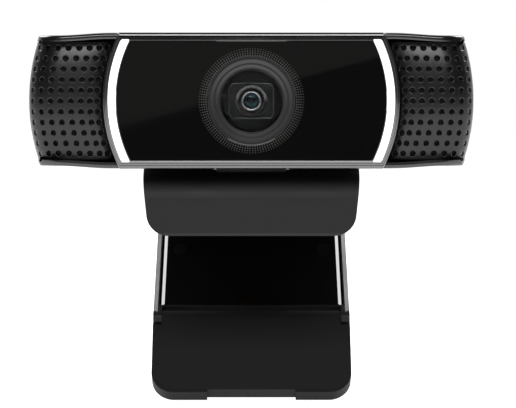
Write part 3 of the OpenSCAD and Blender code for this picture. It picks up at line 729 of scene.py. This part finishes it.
def cut_holes(piece, holes):
    """Cuts round holes in the back of the shell, each [x, z, radius]."""
    bm = bmesh.new()
    turn = Matrix.Rotation(math.radians(90), 4, "X")
    for x, z, radius in holes:
        middle = Matrix.Translation(head_point(x, HEAD_DEPTH, z))
        bmesh.ops.create_cone(bm, cap_ends=True, segments=48, radius1=radius * MM,
                              radius2=radius * MM, depth=7.0 * MM, matrix=middle @ turn)
    tool_mesh = bpy.data.meshes.new("hole_tool")
    bm.to_mesh(tool_mesh)
    bm.free()
    tool = bpy.data.objects.new("hole_tool", tool_mesh)
    bpy.context.scene.collection.objects.link(tool)
    piece.modifiers.clear()
    cut = piece.modifiers.new("holes", "BOOLEAN")
    cut.object = tool
    cut.operation = "DIFFERENCE"
    result = bpy.data.meshes.new_from_object(piece.evaluated_get(bpy.context.evaluated_depsgraph_get()))
    piece.modifiers.clear()
    piece.data = result
    result.shade_smooth()
    result.set_sharp_from_angle(angle=math.radians(30))
    bpy.data.objects.remove(tool)
    shade_evenly(piece)


# ---------------------------------------------------------------- head: lens

def build_lens_ring():
    """Shallow funnel round the window, with three fine ridges turned in it."""
    profile = [(RING_R, 2.6), (RING_R, 0.06), (RING_R - 0.06, 0.0), (RING_R - 0.2, 0.0)]
    ridges = (8.9, 7.8, WINDOW_R + 0.12)
    d = 0.0
    for r in ridges:
        d += 0.22
        profile += [(r + 0.2, d), (r + 0.08, d - 0.16), (r - 0.04, d - 0.16), (r - 0.14, d + 0.1)]
    profile += [(WINDOW_R + 0.03, 1.05), (WINDOW_R - 0.4, 1.9), (WINDOW_R - 0.4, 2.6)]
    lathe("lens_ring_turned", "lens_ring", profile, sharp=20)


def build_window():
    """Flat clear disc with a bevelled rim."""
    r = WINDOW_R - 0.02
    profile = [(0.001, 1.0), (r - 0.1, 1.0), (r, 1.1), (r, 1.75), (r - 0.1, 1.8), (0.001, 1.8)]
    lathe("lens_window_disc", "lens_window", profile, closed=False, steps=96)


def mask_opening(grow):
    """Opening of the shroud: flat top and bottom, slanted corners, clockwise from the top right."""
    w, h, corner_x, corner_z = 4.75 + grow, 3.66 + grow, 0.7, 1.05
    return [(w - corner_x, h), (w, h - corner_z), (w, corner_z - h), (w - corner_x, -h),
            (corner_x - w, -h), (-w, corner_z - h), (-w, h - corner_z), (corner_x - w, h)]


def build_mask():
    """Shroud behind the window: a disc with a fine bead round an opening that widens to the back. The bead
    wears the lighter housing grey instead of the shroud's black, a painted highlight that makes its outline
    read as a lit line.
    """
    bm = bmesh.new()
    sides = 8

    def dense(points):
        result = []
        for (x0, z0), (x1, z1) in zip(points, points[1:] + points[:1]):
            for k in range(sides):
                result.append((x0 + (x1 - x0) * k / sides, z0 + (z1 - z0) * k / sides))
        return result

    def ring(grow, d):
        return [head_point(x, d, z) for x, z in dense(mask_opening(grow))]

    def disc(radius, d):
        angles = [math.atan2(z, x) for x, z in dense(mask_opening(0.0))]
        return [head_point(radius * math.cos(a), d, radius * math.sin(a)) for a in angles]

    rim = WINDOW_R - 0.45
    add_loft(bm, [
        disc(rim, 3.6), disc(rim, 2.1), disc(rim - 0.1, 2.05), ring(0.0, 2.05), ring(-0.03, 2.1),
        ring(0.3, 3.6),
    ], close=True)
    finish_mesh("lens_mask_shroud", bm, "lens_mask", 50)
    bead = bmesh.new()
    section = [(0.02 + 0.11 * math.cos(a), 2.03 - 0.11 * math.sin(a))
               for a in (math.pi * k / 4 for k in range(5))]
    add_loft(bead, [ring(grow, d) for grow, d in section], close=True)
    # painted highlight: the bead wears the lighter housing grey so its outline reads as a lit line, where
    # the shroud itself is black
    finish_mesh("lens_mask_bead", bead, "lens_mask", 50, material="housing_metal")


COLLAR_R = 3.55                           # collar of the focus housing


def build_housing():
    """Focus housing: a square block, hollow for the magnet and the moving coil, with a funnel-shaped
    collar round the barrel."""
    low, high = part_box("focus_housing")
    half = extent("focus_housing", 0)
    front = low.y / MM - FRONT_Y
    back = high.y / MM - FRONT_Y
    bore = BARREL_R + 0.08
    lathe("focus_collar", "focus_housing", [
        (COLLAR_R, front + 0.95), (COLLAR_R, front + 0.15), (COLLAR_R - 0.12, front),
        (COLLAR_R - 0.2, front), (bore, front + 0.36), (bore, front + 0.95),
    ], sharp=25)
    angles = [math.tau * i / 48 for i in range(48)]

    def square(half_side, d):
        reach = [half_side / max(abs(math.cos(a)), abs(math.sin(a))) for a in angles]
        return [head_point(r * math.cos(a), d, r * math.sin(a)) for r, a in zip(reach, angles)]

    def circle(radius, d):
        return [head_point(radius * math.cos(a), d, radius * math.sin(a)) for a in angles]

    edge, gap = 0.4, 0.05
    coil_room = extent("focus_coil", 0) + gap
    magnet_room = extent("focus_magnet", 0) + gap
    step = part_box("focus_magnet")[0].y / MM - FRONT_Y - gap
    bm = bmesh.new()
    add_loft(bm, [
        square(half - edge, front + 0.8), square(half, front + 0.8 + edge), square(half, back),
        circle(magnet_room, back), circle(magnet_room, step), circle(coil_room, step),
        circle(coil_room, front + 0.8),
    ], close=True)
    finish_mesh("focus_block", bm, "focus_housing", 20, material="barrel_plastic")


def build_barrel():
    """Moving barrel: a black sloping face round the front lens."""
    f = BARREL_FRONT
    rim = GLASS_R + 0.42
    profile = [
        (BARREL_R, f + 5), (BARREL_R, f + 0.5), (BARREL_R - 0.1, f + 0.4), (rim + 0.05, f + 0.25),
        (rim + 0.02, f + 0.6), (GLASS_R - 0.2, f + 0.6), (GLASS_R - 0.2, f + 5),
    ]
    lathe("lens_barrel_body", "lens_barrel", profile, sharp=25)


def build_retaining_ring():
    """Bright rounded ring that holds the front lens in the barrel."""
    f = BARREL_FRONT
    inner, outer = GLASS_R + 0.02, GLASS_R + 0.42
    middle, half = (inner + outer) / 2, (outer - inner) / 2
    profile = [(middle + half * math.cos(a), f + half - half * math.sin(a))
               for a in (math.pi * k / 8 for k in range(9))]
    profile += [(inner, f + 0.6), (outer, f + 0.6)]
    lathe("lens_retaining_ring", "lens_barrel", profile, sharp=40, material="pin_steel")


def build_front_lens():
    """Convex front element."""
    f = BARREL_FRONT + 0.16
    ball = 2.9
    edge = math.asin(GLASS_R / ball)
    profile = [(0.001, f)]
    for i in range(1, 13):
        a = edge * i / 12
        profile.append((ball * math.sin(a), f + ball * (1 - math.cos(a))))
    profile += [(GLASS_R, f + 0.75), (0.001, f + 0.75)]
    lathe("front_lens_element", "front_lens", profile, closed=False, steps=64, sharp=50)


# ---------------------------------------------------------------- tilt hinge

WASHER_FROM, WASHER_TO = 7.61, 8.19       # faces of a washer, from the middle of the webcam


def build_tilt_washers():
    """Friction washers, one each side of the lug, thick enough to leave no daylight beside them."""
    low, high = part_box("tilt_washers")
    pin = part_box("tilt_pin")
    centre = (low + high) / 2
    radius = (high.z - low.z) / 2
    bore = (pin[1].z - pin[0].z) / 2
    inner, outer = WASHER_FROM * MM, WASHER_TO * MM
    chamfer = 0.05 * MM
    profile = [
        (bore, inner), (radius - chamfer, inner), (radius, inner + chamfer),
        (radius, outer - chamfer), (radius - chamfer, outer), (bore, outer),
    ]
    bm = bmesh.new()
    for side in (-1, 1):
        rings = []
        for r, x in profile:
            rings.append([
                Vector((side * x, centre.y + r * math.cos(a), centre.z + r * math.sin(a)))
                for a in (math.tau * i / 48 for i in range(48))
            ])
        add_loft(bm, rings, close=True)
    finish_mesh("tilt_washers_pair", bm, "tilt_washers", 35)


# ---------------------------------------------------------------- carried-over CAD nodes

def dress_node(node, width_mm):
    """Gives a CAD node its material and, where width is set, softly rounded edges."""
    obj = frame["nodes"][node]
    obj.data.materials.clear()
    obj.data.materials.append(MATERIALS[NODE_SLOT[node]])
    if width_mm:
        bevel = obj.modifiers.new("soft edges", "BEVEL")
        bevel.width = width_mm * MM
        bevel.segments = 2
        bevel.limit_method = "ANGLE"
        bevel.angle_limit = math.radians(32)
        bevel.use_clamp_overlap = True
        bevel.harden_normals = False
        shade_evenly(obj)


SOFT_EDGES = {
    "clip_base": 0.35, "leg_frame": 0.2, "foot_shell": 0.3, "foot_pad": 0.3, "plate_cover": 0.15,
    "plate_pad": 0.15, "lip_pad": 0.15, "cable_gland": 0.15, "tilt_bracket": 0.15, "leg_panel": 0.05,
}


# ---------------------------------------------------------------- stage

def build_floor():
    """Lit white paper that the foot stands on."""
    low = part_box("foot_shell")[0]
    mesh = bpy.data.meshes.new("floor")
    size, front = 4.0, -0.9
    corners = [(-size, front), (size, front), (size, size), (-size, size)]
    mesh.from_pydata([(x, y, low.z) for x, y in corners], [], [(0, 1, 2, 3)])
    floor = bpy.data.objects.new("floor", mesh)
    bpy.context.scene.collection.objects.link(floor)
    material, tree, bsdf = shader("floor_paper")
    tooth = object_noise(tree, 400, 3)
    tree.links.new(tint(tree, tooth, (0.9, 0.9, 0.9), (0.93, 0.93, 0.93)), bsdf.inputs["Base Color"])
    bsdf.inputs["Roughness"].default_value = 0.9
    bsdf.inputs["Specular IOR Level"].default_value = 0.1
    bsdf.inputs["Emission Color"].default_value = (1, 1, 1, 1)
    bsdf.inputs["Emission Strength"].default_value = 0.85
    mesh.materials.append(material)


def build_world():
    """Studio: white to the camera, bright behind the object, dark in front of it and overhead."""
    world = bpy.data.worlds.new("studio")
    bpy.context.scene.world = world
    world.use_nodes = True
    nodes, links = world.node_tree.nodes, world.node_tree.links
    where = nodes.new("ShaderNodeTexCoord")
    split = nodes.new("ShaderNodeSeparateXYZ")
    links.new(where.outputs["Generated"], split.inputs[0])
    ramps = []
    for axis, start, end, low, high in (("Y", -0.35, 0.6, 0.02, 1.0), ("Z", 0.55, 0.9, 1.0, 0.3)):
        ramp = nodes.new("ShaderNodeMapRange")
        ramp.interpolation_type = "SMOOTHSTEP"
        ramp.inputs["From Min"].default_value = start
        ramp.inputs["From Max"].default_value = end
        ramp.inputs["To Min"].default_value = low
        ramp.inputs["To Max"].default_value = high
        links.new(split.outputs[axis], ramp.inputs["Value"])
        ramps.append(ramp.outputs["Result"])
    product = nodes.new("ShaderNodeMath")
    product.operation = "MULTIPLY"
    links.new(ramps[0], product.inputs[0])
    links.new(ramps[1], product.inputs[1])
    path = nodes.new("ShaderNodeLightPath")
    mix = nodes.new("ShaderNodeMix")
    mix.inputs["B"].default_value = 1.0
    links.new(product.outputs[0], mix.inputs["A"])
    links.new(path.outputs["Is Camera Ray"], mix.inputs["Factor"])
    links.new(mix.outputs["Result"], nodes["Background"].inputs["Strength"])
    nodes["Background"].inputs["Color"].default_value = (1, 1, 1, 1)


def area_light(name, place, target, size, power):
    """A rectangular light that faces target."""
    light = bpy.data.lights.new(name, "AREA")
    light.shape = "RECTANGLE"
    light.size, light.size_y = size
    light.energy = power
    obj = bpy.data.objects.new(name, light)
    obj.location = place
    obj.rotation_euler = (Vector(target) - Vector(place)).to_track_quat("-Z", "Y").to_euler()
    bpy.context.scene.collection.objects.link(obj)


CAMERA_AWAY = 450.0                       # camera in front of the faceplate
PICTURE_W = 109.4844                      # width of the picture at the faceplate
AIM = (1.4, -21.9)                        # picture centre from the lens axis


def build_camera():
    """Camera in front of the lens, turned towards the middle of the picture."""
    data = bpy.data.cameras.new("camera")
    data.sensor_width = 36.0
    data.lens = data.sensor_width * CAMERA_AWAY / PICTURE_W
    data.clip_start, data.clip_end = 0.01, 20
    camera = bpy.data.objects.new("camera", data)
    camera.location = head_point(0, -CAMERA_AWAY, 0)
    aim = head_point(AIM[0], 0, AIM[1])
    camera.rotation_euler = (aim - camera.location).to_track_quat("-Z", "Y").to_euler()
    bpy.context.scene.collection.objects.link(camera)
    bpy.context.scene.camera = camera


def build_card():
    """A dim card behind the camera with a slanted lower edge, which the faceplate mirrors."""
    away = -(CAMERA_AWAY + 10)
    reach = 260
    slope, rise = 0.2685, 4.1
    corners = [(-reach, rise - slope * reach), (reach, rise + slope * reach), (reach, 320), (-reach, 320)]
    mesh = bpy.data.meshes.new("card")
    mesh.from_pydata([head_point(x, away, z) for x, z in corners], [], [(0, 1, 2, 3)])
    card = bpy.data.objects.new("card", mesh)
    bpy.context.scene.collection.objects.link(card)
    material = bpy.data.materials.new("card_glow")
    material.use_nodes = True
    nodes = material.node_tree.nodes
    nodes.remove(nodes["Principled BSDF"])
    glow = nodes.new("ShaderNodeEmission")
    glow.inputs["Color"].default_value = (1.0, 0.96, 0.9, 1)
    glow.inputs["Strength"].default_value = 0.18
    material.node_tree.links.new(glow.outputs[0], nodes["Material Output"].inputs[0])
    mesh.materials.append(material)
    card.visible_camera = False
    card.visible_shadow = False
    card.visible_diffuse = False


# ---------------------------------------------------------------- assembly

build_camera()
bpy.context.scene.view_settings.view_transform = "Standard"
build_front_frame()
build_faceplate()
for strip_side, strip_node in ((-1, "left_light_strip"), (1, "right_light_strip")):
    build_strip(strip_side, strip_node)
for grille_side, grille_node in ((-1, "left_grille"), (1, "right_grille")):
    build_grille(grille_side, grille_node)
    build_cloth(grille_side, grille_node)
build_rear_shell()
build_lens_ring()
build_window()
build_mask()
build_housing()
build_barrel()
build_retaining_ring()
build_front_lens()
build_tilt_washers()

for cad_node, cad_object in frame["nodes"].items():
    if not cad_object.hide_render:
        dress_node(cad_node, SOFT_EDGES.get(cad_node, 0.0))

build_floor()
build_world()
build_card()
area_light("top_softbox", (0, -0.50, 0.40), (0, -0.03, 0.02), (0.45, 0.22), 2.3)
for back_side in (-1, 1):
    area_light(f"back_softbox_{back_side}", (back_side * 0.41, 0.36, 0.51), (0, 0, 0), (0.3, 0.3), 2.3)
